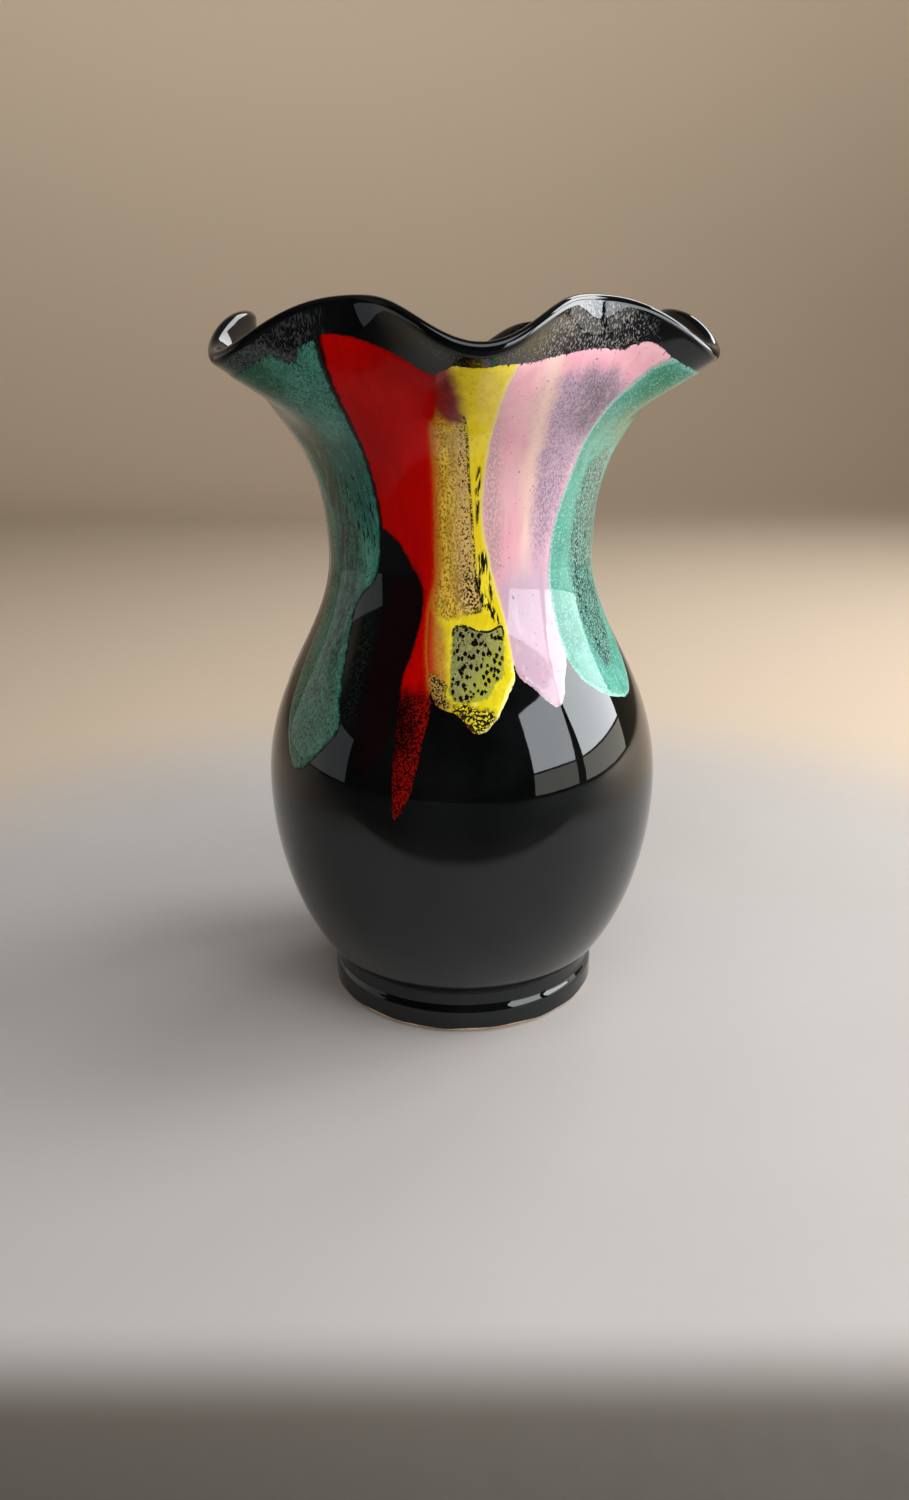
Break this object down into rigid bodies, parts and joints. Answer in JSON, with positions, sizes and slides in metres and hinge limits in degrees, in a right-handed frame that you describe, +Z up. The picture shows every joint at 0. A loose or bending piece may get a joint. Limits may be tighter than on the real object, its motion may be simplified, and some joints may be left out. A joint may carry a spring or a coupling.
{
  "type": "ceramic bud vase",
  "caption": "Glazed ceramic bud vase: round belly on a foot ring, narrow neck, flared and ruffled mouth, black glaze with coloured glaze runs down from the rim.",
  "frame": {"origin": "centre of the underside of the foot ring, where the vase stands", "axes": "+Z up along the vase's axis; -Y is the side with the red, yellow and pink runs"},
  "size_m": [0.1054, 0.114, 0.1599],
  "materials": {
    "fired_clay": "matt, unglazed",
    "black_glaze": "high gloss",
    "green_glaze": "gloss, speckled",
    "red_glaze": "gloss",
    "yellow_glaze": "gloss, flecked",
    "pink_glaze": "gloss, speckled"
  },
  "bodies": {
    "root": {"clay_body": "fired_clay", "base_glaze": "black_glaze", "liner_glaze": "black_glaze", "green_run_1": "green_glaze", "green_run_2": "green_glaze", "green_run_3": "green_glaze", "red_run_1": "red_glaze", "red_run_2": "red_glaze", "red_run_3": "red_glaze", "yellow_run_1": "yellow_glaze", "yellow_run_2": "yellow_glaze", "yellow_run_3": "yellow_glaze", "pink_run_1": "pink_glaze", "pink_run_2": "pink_glaze", "pink_run_3": "pink_glaze"}
  },
  "joints": []
}
